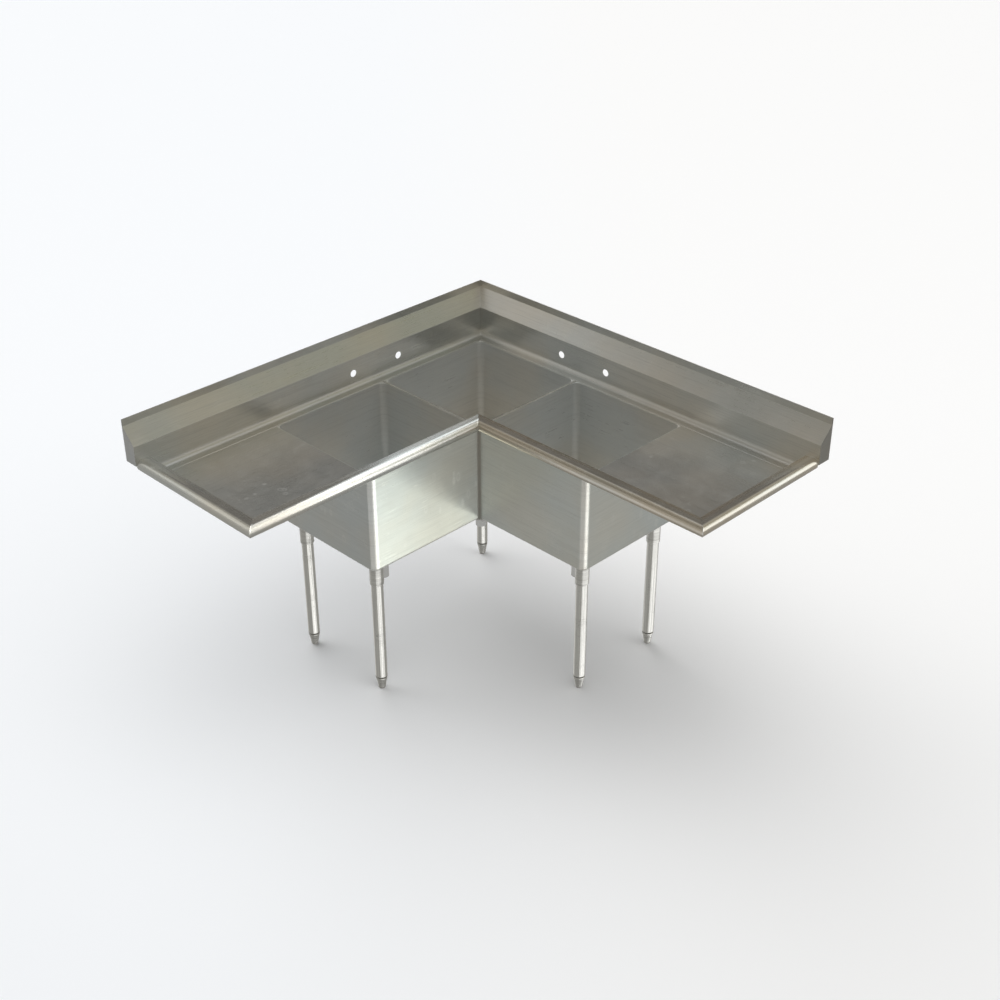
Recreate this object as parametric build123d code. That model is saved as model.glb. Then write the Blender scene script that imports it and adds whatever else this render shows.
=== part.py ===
from build123d import *
import math
import os

# Free-standing stainless steel corner sink with three bowls and two drainboards.
# Plan: two equal wings meet at the room corner. Right wing runs along +X against
# the rear wall (outward normal +Y); left wing runs along -Y against the left wall
# (outward normal -X). Inside this file a plan point is (a, b): a = distance from
# the left wall, b = distance from the rear wall. z is the height over the floor.
# Row frame: X = a - L/2, Y = L/2 - b, so the origin is at the middle of the
# bounding box, on the floor.

# ---- driving dimensions, millimetres ---------------------------------------
L = 1524.0            # length of each wing, from the room corner
WD = 613.0            # depth of each wing, wall to outer edge of the rolled rim
T = 1.6               # sheet thickness
ZD = 919.4            # top of the rear ledge
ZB = 916.4            # top edge of the bowls, low end of the drainboards

SPLASH = 51.0         # face of the backsplash, from the wall
Z_FLANGE = 1099.0     # top of the wall flange
Z_SLOPE = 1075.0      # where the sloped return leaves the wall flange
Z_BREAK = 1022.4      # where the sloped return meets the vertical face
Z_CAP = 955.2         # bottom of the boxed end of the backsplash
COVE = 19.0           # cove between backsplash and ledge

BOWL = 457.2          # bowl opening, both ways (18 in)
BOWL_DEEP = 357.0     # bowl depth under its top edge
BOWL_IN = 92.0        # first inner wall of a bowl, from the wall
GAP = 9.0             # space between two neighbouring bowls
R_BOWL = 22.0         # vertical coved corner, inside
R_FLOOR = 12.0        # floor cove, inside

ROLL_R = 19.2         # outer radius of the rolled rim
RISER = 62.2          # plan width of riser, top band and roll
RIM_LOW = 905.0       # bottom of the riser's skirt
END_ROLL = 1521.0     # outermost line of the end rims

LEG_R = 20.65         # 1 5/8 in tube
LEG_WALL = 1.6
LEG_ALONG = 925.0     # outer legs, along the wing
LEG_REAR = 82.0       # rear legs, from the wall
LEG_FRONT = 446.0     # front legs, from the wall
SOCK_R = 23.8
SOCK_BORE = 20.85
SOCK_LOW = 430.0
Z_LEG_END = 54.0      # lower end of the tube

FAUCET_MID = 553.0    # middle of each pair of tap holes, along the wing
FAUCET_CC = 203.2     # 8 in centres
FAUCET_R = 12.7       # 1 in holes
FAUCET_Z = 968.0

DRAIN_HOLE_R = 45.0   # hole in the bowl floor
TAIL_R = 19.05        # 1 1/2 in tailpiece

# ---- derived ------------------------------------------------------------------
H = L / 2
B0 = BOWL_IN - T                  # outer face of the rear bowl walls
B1 = BOWL_IN + BOWL + T           # outer face of the front bowl walls
S0 = B1 + GAP                     # outer face of a side bowl, partition side
S1 = S0 + BOWL + 2 * T            # outer face of a side bowl, drainboard side
Z_FLOOR = ZB - BOWL_DEEP          # inside of the bowl floor
Z_BOT = Z_FLOOR - T               # underside of the bowls
EDGE = END_ROLL - RISER           # riser of the end rim
CH_H = 25.0                       # height of the leg channels
CORNER_MID = (B0 + B1) / 2
SIDE_MID = (S0 + S1) / 2

os.makedirs("parts", exist_ok=True)

MIRROR = Plane(origin=(0, 0, 0), z_dir=(1, 1, 0))


def at(a, b, z=0.0):
    return (a - H, H - b, z)


def box(a0, a1, b0, b1, z0, z1):
    return Pos(*at((a0 + a1) / 2, (b0 + b1) / 2, (z0 + z1) / 2)) * Box(
        abs(a1 - a0), abs(b1 - b0), abs(z1 - z0))


def cyl(a, b, z0, z1, r):
    return Pos(*at(a, b, (z0 + z1) / 2)) * Cylinder(r, z1 - z0)


def tube(a, b, z0, z1, r_out, r_in):
    return cyl(a, b, z0, z1, r_out) - cyl(a, b, z0 - 1, z1 + 1, r_in)


def plan_prism(points, z0, z1):
    pts = [(p[0] - H, H - p[1]) for p in points]
    sk = make_face(Polyline(*pts, close=True))
    return extrude(Plane(origin=(0, 0, z0)) * sk, amount=z1 - z0, dir=(0, 0, 1))


def along_a(face2d, a0, a1):
    """Profile drawn as (b, z), run along the wing from a0 to a1."""
    pl = Plane(origin=(a1 - H, H, 0), x_dir=(0, -1, 0), z_dir=(-1, 0, 0))
    return extrude(pl * face2d, amount=a1 - a0, dir=(-1, 0, 0))


def along_b(face2d, b0, b1):
    """Profile drawn as (a, z), run across the wing from b0 to b1."""
    pl = Plane(origin=(-H, H - b0, 0), x_dir=(1, 0, 0), z_dir=(0, -1, 0))
    return extrude(pl * face2d, amount=b1 - b0, dir=(0, -1, 0))


def offset_path(pts, d):
    """Path beside pts, at distance d to its left, with mitred corners."""
    out = []
    n = len(pts)
    for i, p in enumerate(pts):
        dirs = []
        if i > 0:
            q = pts[i - 1]
            l = math.hypot(p[0] - q[0], p[1] - q[1])
            dirs.append(((p[0] - q[0]) / l, (p[1] - q[1]) / l))
        if i < n - 1:
            q = pts[i + 1]
            l = math.hypot(q[0] - p[0], q[1] - p[1])
            dirs.append(((q[0] - p[0]) / l, (q[1] - p[1]) / l))
        if len(dirs) == 1:
            nx, ny = -dirs[0][1], dirs[0][0]
            out.append((p[0] + nx * d, p[1] + ny * d))
        else:
            n1 = (-dirs[0][1], dirs[0][0])
            n2 = (-dirs[1][1], dirs[1][0])
            k = 1 + n1[0] * n2[0] + n1[1] * n2[1]
            out.append((p[0] + (n1[0] + n2[0]) * d / k,
                        p[1] + (n1[1] + n2[1]) * d / k))
    return out


def sheet(pts, radii, d):
    """Folded sheet: pts is one surface, the other lies |d| to its left (d > 0)
    or right (d < 0). radii are the bend radii on the drawn surface."""
    other = offset_path(pts, d)
    r2 = []
    for i in range(1, len(pts) - 1):
        ax, ay = pts[i][0] - pts[i - 1][0], pts[i][1] - pts[i - 1][1]
        bx, by = pts[i + 1][0] - pts[i][0], pts[i + 1][1] - pts[i][1]
        left = ax * by - ay * bx > 0
        r2.append(radii[i - 1] - d if left else radii[i - 1] + d)
    one = FilletPolyline(*pts, radius=radii)
    two = FilletPolyline(*other, radius=r2)
    ends = [Line(pts[0], other[0]), Line(pts[-1], other[-1])]
    edges = list(one.edges()) + list(two.edges()) + [e.edge() for e in ends]
    return make_face(edges)


def single(shape):
    """The one solid of a shape."""
    solids = shape.solids()
    assert len(solids) == 1, len(solids)
    return solids[0]


PARTS = {}


def keep(name, shape, count=1):
    solids = shape.solids()
    assert len(solids) == count, (name, len(solids))
    PARTS[name] = solids[0] if count == 1 else Compound(children=list(solids))


def keep_pair(right, left, shape):
    keep(right, shape)
    keep(left, mirror(shape, about=MIRROR))


# ---- backsplash -------------------------------------------------------------
# Wall flange, sloped return, vertical face, cove and rear ledge with a short
# skirt that the bowls and drainboards are welded to.
upper_front = sheet(
    [(T, Z_FLANGE), (T, Z_SLOPE), (SPLASH, Z_BREAK), (SPLASH, Z_CAP)],
    [2.0, 3.0], -T)
lower_front = sheet(
    [(SPLASH, Z_CAP), (SPLASH, ZD), (B0, ZD), (B0, RIM_LOW)],
    [COVE, 2.0], -T)

MITRE = plan_prism([(-5, -5), (L + 5, -5), (L + 5, L + 5)], 0, 1200)
splash = along_a(upper_front, 0, L - T) + along_a(lower_front, 0, EDGE)
splash = splash & MITRE
for s in (-1, 1):
    splash -= Pos(*at(FAUCET_MID + s * FAUCET_CC / 2, SPLASH, FAUCET_Z)) * (
        Rot(90, 0, 0) * Cylinder(FAUCET_R, 30))
keep_pair("right_backsplash", "left_backsplash", splash)

cap = along_a(make_face(Polyline((0, Z_CAP), (SPLASH, Z_CAP), (SPLASH, Z_BREAK),
                                 (T, Z_SLOPE), (T, Z_FLANGE), (0, Z_FLANGE),
                                 close=True)), L - T, L)
keep_pair("right_splash_end_cap", "left_splash_end_cap", cap)

# ---- rolled rims -------------------------------------------------------------
# One section all round: skirt, leaning riser, top band and roll.
def rim_profile(base, top):
    """base: foot of the riser; top: outermost line of the roll."""
    low = Z_ROLL - ROLL_R
    pts = [(base, RIM_LOW), (base, 926.0), (base + 11.2, 969.4),
           (top, 975.6), (top, low), (top - 31.0, low), (top - 31.0, low + 9.0)]
    return sheet(pts, [6.0, 5.0, ROLL_R, ROLL_R, 4.0], -T)


Z_ROLL = 953.9
front_rim = along_a(rim_profile(B1, B1 + RISER), 500, L + 10)
end_rim = along_b(rim_profile(EDGE, EDGE + RISER), SPLASH, 700)
OUTER = EDGE - B1                     # the mitre line is a - b = OUTER
front_rim = front_rim & plan_prism(
    [(B1 - 20, B1 - 20), (B1 + 90, B1 + 90), (OUTER + B1 + 90, B1 + 90),
     (OUTER + B1 - 20, B1 - 20)], 850, 1000)
end_rim = end_rim & plan_prism(
    [(OUTER - 5, -5), (OUTER + B1 + 90, B1 + 90), (L + 90, B1 + 90), (L + 90, -5)],
    850, 1000)
keep_pair("right_front_rim", "left_front_rim", front_rim)
keep_pair("right_end_rim", "left_end_rim", end_rim)

# ---- drainboards --------------------------------------------------------------
PITCH = (ZD - ZB) / (EDGE - S1)


def z_under(a):
    return ZB + (a - S1) * PITCH - T


def pitched(a0, a1, b0, b1, d0, d1):
    """Slab that follows the drainboard's pitch, d0 to d1 under its underside."""
    f = make_face(Polyline((a0, z_under(a0) - d0), (a1, z_under(a1) - d0),
                           (a1, z_under(a1) - d1), (a0, z_under(a0) - d1), close=True))
    return along_b(f, b0, b1)


board = pitched(S1, EDGE, B0, B1, -T, 0.0)
keep_pair("right_drainboard", "left_drainboard", board)

M = CORNER_MID
stiff = (pitched(S1 + 25, EDGE - 12, M - 50, M - 30, 0, 1.6)
         + pitched(S1 + 25, EDGE - 12, M + 30, M + 50, 0, 1.6)
         + pitched(S1 + 25, EDGE - 12, M - 31.6, M - 30, 0, 25)
         + pitched(S1 + 25, EDGE - 12, M + 30, M + 31.6, 0, 25)
         + pitched(S1 + 25, EDGE - 12, M - 30, M + 30, 23.4, 25))
keep_pair("right_drainboard_channel", "left_drainboard_channel", stiff)

# ---- bowls ---------------------------------------------------------------------
def bowl(a0, a1, b0, b1, round_a1):
    """Open-topped shell, outer faces given. round_a1 rounds the two vertical
    outside corners at a1; the hidden ones stay square."""
    outer = box(a0, a1, b0, b1, Z_BOT, ZB)
    if round_a1:
        x1 = a1 - H
        es = [e for e in outer.edges().filter_by(Axis.Z)
              if abs(e.center().X - x1) < 0.1]
        outer = fillet(es, R_BOWL + T)
    low = outer.edges().filter_by_position(Axis.Z, Z_BOT - 0.1, Z_BOT + 0.1)
    outer = fillet(low, R_FLOOR + T)
    inner = box(a0 + T, a1 - T, b0 + T, b1 - T, Z_FLOOR, ZB + 40)
    inner = fillet(inner.edges().filter_by(Axis.Z), R_BOWL)
    low = inner.edges().filter_by_position(Axis.Z, Z_FLOOR - 0.1, Z_FLOOR + 0.1)
    inner = fillet(low, R_FLOOR)
    collar = box(a0, a1, b0, b1, ZB - T, ZB)
    mid_a, mid_b = (a0 + a1) / 2, (b0 + b1) / 2
    return (outer + collar) - inner - cyl(mid_a, mid_b, Z_BOT - 5, Z_FLOOR + 5,
                                          DRAIN_HOLE_R)


keep("corner_bowl", bowl(B0, B1, B0, B1, False))
keep_pair("right_bowl", "left_bowl", bowl(S0, S1, B0, B1, True))

# Cap over the space between two bowls, with the strip that closes its front.
cap_top = box(B1, S0, B0, B1, 906.0, ZB + 2.5)
cap_top = fillet(cap_top.edges().filter_by(Axis.Y).filter_by_position(
    Axis.Z, ZB + 2.4, ZB + 2.6), 2.4)
part_cap = cap_top + box(B1, S0, B1 - 10, B1, Z_BOT, 907.0)
keep_pair("right_partition_cap", "left_partition_cap", part_cap)

# ---- leg channels under the bowls ------------------------------------------------
def hat(a_or_b):
    """Hat section, open side up, its flanges on the bowls' underside."""
    m = a_or_b
    z1, z0 = Z_BOT, Z_BOT - CH_H
    return make_face(Polyline(
        (m - 52, z1), (m - 32, z1), (m - 32, z0 + 2), (m + 32, z0 + 2), (m + 32, z1),
        (m + 52, z1), (m + 52, z1 - 2), (m + 34, z1 - 2), (m + 34, z0), (m - 34, z0),
        (m - 34, z1 - 2), (m - 52, z1 - 2), close=True))


keep_pair("right_leg_channel", "left_leg_channel",
          along_b(hat(LEG_ALONG), 30, 508))
keep("corner_leg_channel", along_a(hat(LEG_REAR), 30, 300))

# ---- legs -----------------------------------------------------------------------
LEGS = {
    "corner": (LEG_REAR, LEG_REAR),
    "right_rear": (LEG_ALONG, LEG_REAR),
    "right_front": (LEG_ALONG, LEG_FRONT),
    "left_rear": (LEG_REAR, LEG_ALONG),
    "left_front": (LEG_FRONT, LEG_ALONG),
}
Z_CH = Z_BOT - CH_H               # underside of the leg channels
Z_PLATE = Z_CH - 4.0              # underside of the socket's plate
SCREW_Z = 446.0


def screw_dir(name):
    """Unit plan vector in row axes, from the leg towards its set screw."""
    k = 1 / math.sqrt(2)
    return (-k, k) if name == "corner" else ((-1.0, 0.0) if "left" in name else (0.0, 1.0))


screws = []
inserts = []
for name, (a, b) in LEGS.items():
    plate = box(a - 34, a + 34, b - 34, b + 34, Z_PLATE, Z_CH)
    plate = fillet(plate.edges().filter_by(Axis.Z), 8.0)
    body = cyl(a, b, SOCK_LOW, Z_PLATE, SOCK_R)
    body = fillet(body.edges().filter_by_position(Axis.Z, SOCK_LOW - 0.1, SOCK_LOW + 0.1), 1.0)
    collar = Pos(*at(a, b, Z_PLATE - 9.0)) * Cone(SOCK_R, SOCK_R + 9.0, 18.0)
    dx, dy = screw_dir(name)
    px, py, _ = at(a, b)
    ax = Plane(origin=(px, py, SCREW_Z), z_dir=(dx, dy, 0))
    hole = ax * (Pos(0, 0, 22) * Cylinder(4.0, 20))
    socket = plate + body + collar - cyl(a, b, SOCK_LOW - 5, Z_PLATE, SOCK_BORE) - hole
    keep(name + "_leg_socket", socket)

    screw = ax * (Pos(0, 0, 22.85) * Cylinder(4.0, 4.3) + Pos(0, 0, 26.5) * Cylinder(6.5, 5.0))
    hexcut = ax * (Pos(0, 0, 26.6) * extrude(RegularPolygon(2.9, 6), 3.0))
    screws.append(single(screw - hexcut))

    leg = tube(a, b, Z_LEG_END, Z_PLATE, LEG_R, LEG_R - LEG_WALL)
    keep(name + "_leg", leg)

    plug = cyl(a, b, Z_LEG_END, Z_LEG_END + 28, LEG_R - LEG_WALL) + cyl(
        a, b, Z_LEG_END - 3, Z_LEG_END, LEG_R)
    plug = fillet(plug.edges().filter_by_position(
        Axis.Z, Z_LEG_END - 3.1, Z_LEG_END - 2.9), 1.0)
    plug -= cyl(a, b, Z_LEG_END - 5, Z_LEG_END + 30, 8.0)
    inserts.append(single(plug))

    # bullet foot: turned, with a threaded stem that runs in the insert
    ft = make_face(Polyline(
        (0, 0), (9.5, 0), (11.5, 1.5), (12.6, 5), (14.2, 15), (16.6, 28), (18.6, 38),
        (19.6, 43), (19.9, 47), (18.9, 48), (7.95, 48), (7.95, 92), (6.9, 93.5),
        (0, 93.5), close=True))
    foot = revolve(Plane.XZ * ft, Axis.Z, 360)
    flats = (Pos(0, 18.4 + 5, 43.5) * Box(44, 10, 9.2)) + (
        Pos(0, -18.4 - 5, 43.5) * Box(44, 10, 9.2))
    foot = Pos(*at(a, b)) * (foot - flats)
    keep(name + "_foot", foot)

PARTS["leg_set_screws"] = Compound(children=screws)
PARTS["leg_inserts"] = Compound(children=inserts)

# ---- drains -----------------------------------------------------------------------
DRAINS = {
    "corner": (CORNER_MID, CORNER_MID),
    "right": (SIDE_MID, CORNER_MID),
    "left": (CORNER_MID, SIDE_MID),
}
gaskets, locknuts, slipnuts = [], [], []


def turned(points, a, b, z):
    f = make_face(Polyline(*points, close=True))
    return Pos(*at(a, b, z)) * revolve(Plane.XZ * f, Axis.Z, 360)


for name, (a, b) in DRAINS.items():
    # strainer body: flange on the bowl floor, cup, sloped bottom, outlet spigot
    drain = turned([
        (38.5, 0.4), (57.0, 0.0), (57.0, 1.2), (54.0, 2.6), (47.0, 2.9), (43.2, 0.4),
        (41.0, -4.0), (41.0, -42.0), (36.0, -47.5), (17.4, -51.5), (17.4, -80.0),
        (20.0, -80.0), (20.0, -53.8), (37.0, -49.9), (43.0, -43.0), (43.0, -1.0),
        (43.6, 0.0), (44.6, 0.0)][1:], a, b, Z_FLOOR)
    keep(name + "_drain_body", drain)

    gaskets.append(single(tube(a, b, Z_BOT - 2.5, Z_BOT, 56.0, 43.2)))

    nut = tube(a, b, Z_BOT - 14.5, Z_BOT - 2.5, 52.0, 43.15) + tube(
        a, b, Z_BOT - 6.5, Z_BOT - 2.5, 57.0, 43.15)
    for k in range(8):
        ang = k * math.pi / 4
        lug = Pos(*at(a, b, Z_BOT - 10.5)) * Rot(0, 0, math.degrees(ang)) * (
            Pos(53.5, 0, 0) * Box(7, 10, 8))
        nut += lug
    locknuts.append(single(nut))

    # tailpiece hangs on the spigot; the slip nut clamps its flange round the neck
    z_sp = Z_FLOOR - 80.0
    tail = (tube(a, b, z_sp - 140.0, z_sp - 9.0, TAIL_R, TAIL_R - 1.3)
            + tube(a, b, z_sp - 9.0, z_sp, TAIL_R - 0.35, TAIL_R - 1.3)
            + tube(a, b, z_sp - 2.0, z_sp, 21.5, TAIL_R - 1.3))
    keep(name + "_tailpiece", tail)

    sn = (tube(a, b, z_sp - 8.0, z_sp + 14.0, 25.0, 21.6)
          + tube(a, b, z_sp - 8.0, z_sp - 2.0, 25.0, 19.2)
          + tube(a, b, z_sp + 6.0, z_sp + 14.0, 25.0, 20.15))
    for k in range(4):
        sn += Pos(*at(a, b, z_sp + 3)) * Rot(0, 0, 90 * k + 45) * (
            Pos(26.5, 0, 0) * Box(5, 7, 18))
    slipnuts.append(single(sn))

    # lift-out basket: perforated cup with a lip on the strainer body, rubber
    # stopper under it and a post with a knob
    zb = Z_FLOOR
    cup = turned([
        (4.0, -33.0), (27.0, -33.0), (33.0, -29.0), (36.6, -4.0), (41.4, -2.0),
        (41.8, -0.8), (36.0, -1.4), (35.2, -3.4), (31.8, -27.6), (26.4, -31.4),
        (4.0, -31.4)], a, b, zb)
    for ring, n in ((10.0, 8), (16.0, 12), (22.5, 16)):
        for k in range(n):
            ang = 2 * math.pi * k / n
            cup -= Pos(*at(a, b, zb - 32.2)) * Pos(
                ring * math.cos(ang), ring * math.sin(ang), 0) * Cylinder(1.7, 6)
    for k in range(12):
        slot = Pos(33.6, 0, -17) * Rot(0, 7, 0) * Box(8, 3.0, 16)
        cup -= Pos(*at(a, b, zb)) * Rot(0, 0, 30 * k) * slot
    keep(name + "_basket_cup", cup)

    stop = turned([(4.0, -44.0), (17.0, -50.6), (20.5, -50.2), (24.0, -47.6),
                   (24.0, -45.6), (17.0, -38.0), (17.0, -33.0), (4.0, -33.0)], a, b, zb)
    keep(name + "_basket_stopper", stop)

    knob = turned([(0, -44.0), (4.0, -44.0),
                   (4.0, -12.0), (3.4, -8.0), (6.5, -4.5), (9.0, -1.0), (8.6, 2.5),
                   (6.0, 4.4), (0, 5.0)], a, b, zb)
    keep(name + "_basket_knob", knob)

PARTS["drain_gaskets"] = Compound(children=gaskets)
PARTS["drain_locknuts"] = Compound(children=locknuts)
PARTS["drain_slip_nuts"] = Compound(children=slipnuts)

for name, shape in PARTS.items():
    export_step(shape, "parts/%s.step" % name)
print(len(PARTS), "nodes")
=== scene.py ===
import math

import bmesh
import bpy
from mathutils import Matrix, Vector


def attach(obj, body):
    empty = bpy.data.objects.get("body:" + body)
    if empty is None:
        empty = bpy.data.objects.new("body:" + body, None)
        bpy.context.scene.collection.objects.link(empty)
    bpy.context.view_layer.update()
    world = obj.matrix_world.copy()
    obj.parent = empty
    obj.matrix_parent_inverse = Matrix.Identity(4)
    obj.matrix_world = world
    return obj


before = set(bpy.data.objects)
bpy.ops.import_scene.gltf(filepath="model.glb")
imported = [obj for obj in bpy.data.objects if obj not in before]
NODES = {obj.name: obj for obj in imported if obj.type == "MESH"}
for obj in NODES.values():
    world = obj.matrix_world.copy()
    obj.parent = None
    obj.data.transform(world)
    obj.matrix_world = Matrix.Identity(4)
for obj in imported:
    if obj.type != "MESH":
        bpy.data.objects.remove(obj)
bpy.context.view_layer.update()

# Plan coordinates as in the part: a runs from the left wall, b from the rear wall.
H = 0.762
T = 1.6
ZB, ZD = 916.4, 919.4
B0, B1 = 90.4, 550.8                  # outer faces of the bowls, from the wall
S0, S1 = 559.8, 1020.2                # outer faces of a side bowl, along the wing
EDGE = 1458.8                         # foot of the end rim
CM, SM = (B0 + B1) / 2, (S0 + S1) / 2
Z_FLOOR = 559.4
Z_BOT = 557.8
Z_CH = Z_BOT - 25.0
Z_PLATE = Z_CH - 4.0
SOCK_R = 23.8
LEGS = {"corner": (82, 82), "right_rear": (925, 82), "right_front": (925, 446),
        "left_rear": (82, 925), "left_front": (446, 925)}
MITRE = (EDGE - B1) / 1000            # outer mitres lie where |X + Y| is this


def at(a, b, z):
    return Vector((a / 1000 - H, H - b / 1000, z / 1000))


# ---- camera -------------------------------------------------------------------
YAW, PITCH, ROLL = 0.783778688830178, 0.5381156599101741, -0.00128653544589739
FOCAL = 1.5406437327843507            # focal length over the frame's width
CAM_AT = Vector((2.960089, -2.873296, 3.274858))


def make_camera():
    fwd = Vector((-math.sin(YAW) * math.cos(PITCH), math.cos(YAW) * math.cos(PITCH),
                  -math.sin(PITCH)))
    right = Vector((math.cos(YAW), math.sin(YAW), 0))
    up = right.cross(fwd)
    c, s = math.cos(ROLL), math.sin(ROLL)
    r2, u2 = c * right + s * up, -s * right + c * up
    m = Matrix((r2, u2, -fwd)).transposed().to_4x4()
    m.translation = CAM_AT
    data = bpy.data.cameras.new("camera")
    data.sensor_width = 36.0
    data.lens = FOCAL * 36.0
    data.clip_start, data.clip_end = 0.05, 200
    cam = bpy.data.objects.new("camera", data)
    bpy.context.scene.collection.objects.link(cam)
    cam.matrix_world = m
    bpy.context.scene.camera = cam


make_camera()


# ---- node helpers ---------------------------------------------------------------
class Tree:
    """Short hand for a material's node tree."""

    def __init__(self, name, mat=None):
        self.mat = mat or bpy.data.materials.new(name)
        self.mat.use_nodes = True
        self.t = self.mat.node_tree
        self.t.nodes.clear()
        self.out = self.t.nodes.new("ShaderNodeOutputMaterial")
        self.bsdf = self.t.nodes.new("ShaderNodeBsdfPrincipled")
        self.link(self.bsdf.outputs["BSDF"], self.out.inputs["Surface"])
        tc = self.t.nodes.new("ShaderNodeTexCoord")
        self.coord = tc.outputs["Object"]
        self.normal = tc.outputs["Normal"]
        p = self.xyz()
        self.x, self.y, self.z = p[0], p[1], p[2]
        self.s = self.math("ADD", self.x, self.y)

    def link(self, a, b):
        self.t.links.new(a, b)

    def put(self, socket, v):
        if isinstance(v, bpy.types.NodeSocket):
            self.link(v, socket)
        else:
            socket.default_value = v

    def mapping(self, scale, loc=(0, 0, 0), rot=(0, 0, 0), src=None):
        n = self.t.nodes.new("ShaderNodeMapping")
        n.inputs["Scale"].default_value = scale
        n.inputs["Location"].default_value = loc
        n.inputs["Rotation"].default_value = rot
        self.link(src or self.coord, n.inputs["Vector"])
        return n.outputs["Vector"]

    def noise(self, vec, scale, detail=3.0, rough=0.55, distortion=0.0):
        n = self.t.nodes.new("ShaderNodeTexNoise")
        n.inputs["Scale"].default_value = scale
        n.inputs["Detail"].default_value = detail
        n.inputs["Roughness"].default_value = rough
        n.inputs["Distortion"].default_value = distortion
        self.link(vec, n.inputs["Vector"])
        return n.outputs["Fac"]

    def voronoi(self, vec, scale, feature="F1", out="Distance"):
        n = self.t.nodes.new("ShaderNodeTexVoronoi")
        n.feature = feature
        n.inputs["Scale"].default_value = scale
        self.link(vec, n.inputs["Vector"])
        return n.outputs[out]

    def math(self, op, a, b=None, c=None, clamp=False):
        n = self.t.nodes.new("ShaderNodeMath")
        n.operation = op
        n.use_clamp = clamp
        for i, v in enumerate((a, b, c)):
            if v is not None:
                self.put(n.inputs[i], v)
        return n.outputs[0]

    def add(self, *v):
        r = v[0]
        for q in v[1:]:
            r = self.math("ADD", r, q)
        return r

    def mul(self, *v):
        r = v[0]
        for q in v[1:]:
            r = self.math("MULTIPLY", r, q)
        return r

    def lerp(self, f, a, b):
        """a where f is 0, b where f is 1, for plain numbers."""
        n = self.t.nodes.new("ShaderNodeMix")
        n.data_type = "FLOAT"
        self.put(n.inputs[0], f)
        self.put(n.inputs[2], a)
        self.put(n.inputs[3], b)
        return n.outputs[0]

    def remap(self, v, a0, a1, b0, b1, smooth=False):
        n = self.t.nodes.new("ShaderNodeMapRange")
        n.interpolation_type = "SMOOTHSTEP" if smooth else "LINEAR"
        for k, x in (("Value", v), ("From Min", a0), ("From Max", a1), ("To Min", b0),
                     ("To Max", b1)):
            self.put(n.inputs[k], x)
        return n.outputs["Result"]

    def band(self, v, centre, half):
        """1 within half of the centre, falling softly to 0."""
        d = self.math("ABSOLUTE", self.math("SUBTRACT", v, centre))
        return self.remap(d, half * 0.55, half, 1.0, 0.0, True)

    def xyz(self, src=None):
        n = self.t.nodes.new("ShaderNodeSeparateXYZ")
        self.link(src or self.coord, n.inputs[0])
        return n.outputs

    def mix(self, fac, a, b, blend="MIX"):
        n = self.t.nodes.new("ShaderNodeMix")
        n.data_type = "RGBA"
        n.blend_type = blend
        self.put(n.inputs[0], fac)
        for i, v in ((6, a), (7, b)):
            if isinstance(v, bpy.types.NodeSocket):
                self.link(v, n.inputs[i])
            else:
                n.inputs[i].default_value = (*v, 1.0)
        return n.outputs[2]

    def bump(self, height, strength, distance, normal=None):
        n = self.t.nodes.new("ShaderNodeBump")
        n.inputs["Strength"].default_value = strength
        n.inputs["Distance"].default_value = distance
        self.link(height, n.inputs["Height"])
        if normal is not None:
            self.link(normal, n.inputs["Normal"])
        return n.outputs["Normal"]


# ---- materials --------------------------------------------------------------------
STEEL = (0.60, 0.597, 0.575)


def tone(c, k):
    return tuple(min(1.0, v * (k if isinstance(k, (int, float)) else k[i]))
                 for i, v in enumerate(c))


def stretched(t, axis, fine, slow, loc=(0, 0, 0), detail=2.0):
    """Noise drawn out along one axis (0, 1 or 2), as a brush leaves it. axis "wall"
    draws it out level round upright walls, whichever way they face."""
    if axis == "wall":
        sc = (slow, slow, fine)
    else:
        sc = [fine, fine, fine]
        sc[axis] = slow
    return t.noise(t.mapping(tuple(sc), loc=loc), 1.0, detail, 0.6)


def grain_of(t, axis):
    """Three widths of brush line, about 0.5 mm, 2 mm and 8 mm across."""
    a = stretched(t, axis, 1100.0, 16.0)
    b = stretched(t, axis, 330.0, 5.0, (3.1, 1.7, 9.2))
    c = stretched(t, axis, 80.0, 1.6, (7.4, 5.5, 2.6))
    return t.add(t.mul(a, 0.38), t.mul(b, 0.38), t.mul(c, 0.24))


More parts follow.
